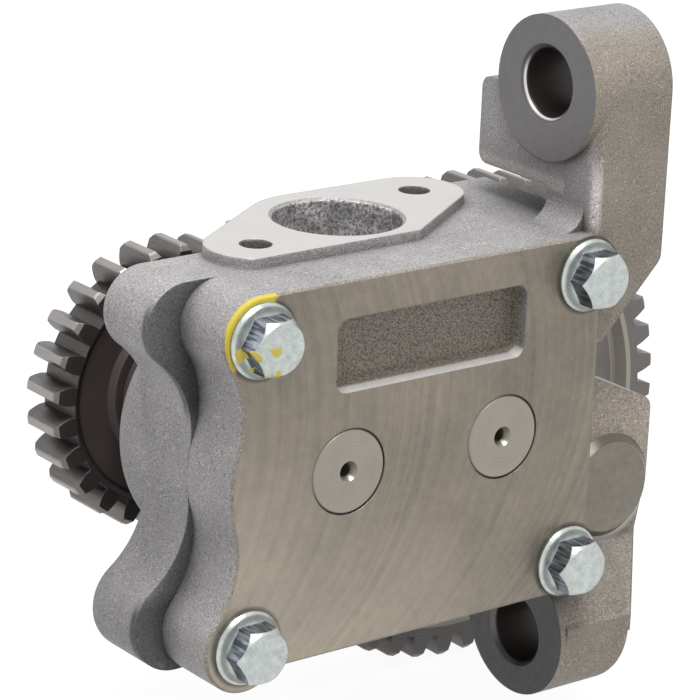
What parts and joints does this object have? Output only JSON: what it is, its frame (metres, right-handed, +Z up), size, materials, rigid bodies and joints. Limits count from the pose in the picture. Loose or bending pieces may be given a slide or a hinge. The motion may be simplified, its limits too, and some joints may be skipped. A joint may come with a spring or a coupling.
{
  "type": "engine oil pump",
  "caption": "Gear-type engine oil pump: cast housing, machined front cover with two bolt ears, a top port flange and external spur timing gears.",
  "frame": {"origin": "midway between the two ear holes, on the ears' faces that meet the crankcase", "axes": "+X into the crankcase along the ear bolts, +Y along the shafts to the timing gears, +Z up from the lower ear to the upper"},
  "size_m": [0.2105, 0.1073, 0.1926],
  "materials": {
    "cover_casting": "grey iron, rough cast, front face milled",
    "housing_casting": "grey iron, rough cast, flange faces milled",
    "gear_steel": "hobbed and hardened steel, satin",
    "shaft_steel": "ground steel, faced ends",
    "ground_steel": "ground steel",
    "nut_steel": "dark phosphated steel",
    "zinc_screw": "zinc plated steel",
    "spring_steel": "drawn spring wire",
    "bearing_bronze": "bored bronze",
    "seal_copper": "soft copper ring"
  },
  "bodies": {
    "pump_body": {"front_cover": "cover_casting", "housing": "housing_casting", "cover_screws": "zinc_screw", "locating_dowels": "ground_steel", "drive_shaft_bush": "bearing_bronze", "driven_shaft_bush": "bearing_bronze", "intermediate_axle": "ground_steel", "axle_thrust_washer": "ground_steel", "axle_screw": "zinc_screw", "relief_plug": "zinc_screw", "relief_seal": "seal_copper", "relief_spring": "spring_steel"},
    "intermediate": {"intermediate_gear": "gear_steel", "intermediate_bush": "bearing_bronze"},
    "drive_train": {"drive_shaft": "shaft_steel", "drive_gear": "gear_steel", "drive_gear_key": "ground_steel", "drive_gear_washer": "ground_steel", "drive_gear_nut": "nut_steel", "pump_drive_gear": "gear_steel", "pump_gear_key": "ground_steel"},
    "driven_train": {"driven_shaft": "shaft_steel", "pump_driven_gear": "gear_steel"},
    "relief": {"relief_piston": "ground_steel"}
  },
  "joints": [
    {"name": "intermediate_spin", "type": "hinge", "parent": "pump_body", "child": "intermediate", "pos_m": [-0.00033, 0.059, -0.0361], "axis": [0, 1, 0], "continuous": true},
    {"name": "drive_spin", "type": "hinge", "parent": "pump_body", "child": "drive_train", "pos_m": [-0.09574, 0.059, -0.0095], "axis": [0, 1, 0], "continuous": true},
    {"name": "driven_spin", "type": "hinge", "parent": "pump_body", "child": "driven_train", "pos_m": [-0.04861, 0.0136, -0.0095], "axis": [0, 1, 0], "continuous": true},
    {"name": "relief_slide", "type": "slide", "parent": "pump_body", "child": "relief", "axis": [1, 0, 0], "range_m": [0, 0.006], "stiffness_N_per_m": 4000, "springref_m": -0.006, "deforming": ["relief_spring"]}
  ],
  "couplings": [
    {"joint": "drive_spin", "follows": "intermediate_spin", "ratio": -1.88},
    {"joint": "driven_spin", "follows": "intermediate_spin", "ratio": 1.88}
  ]
}
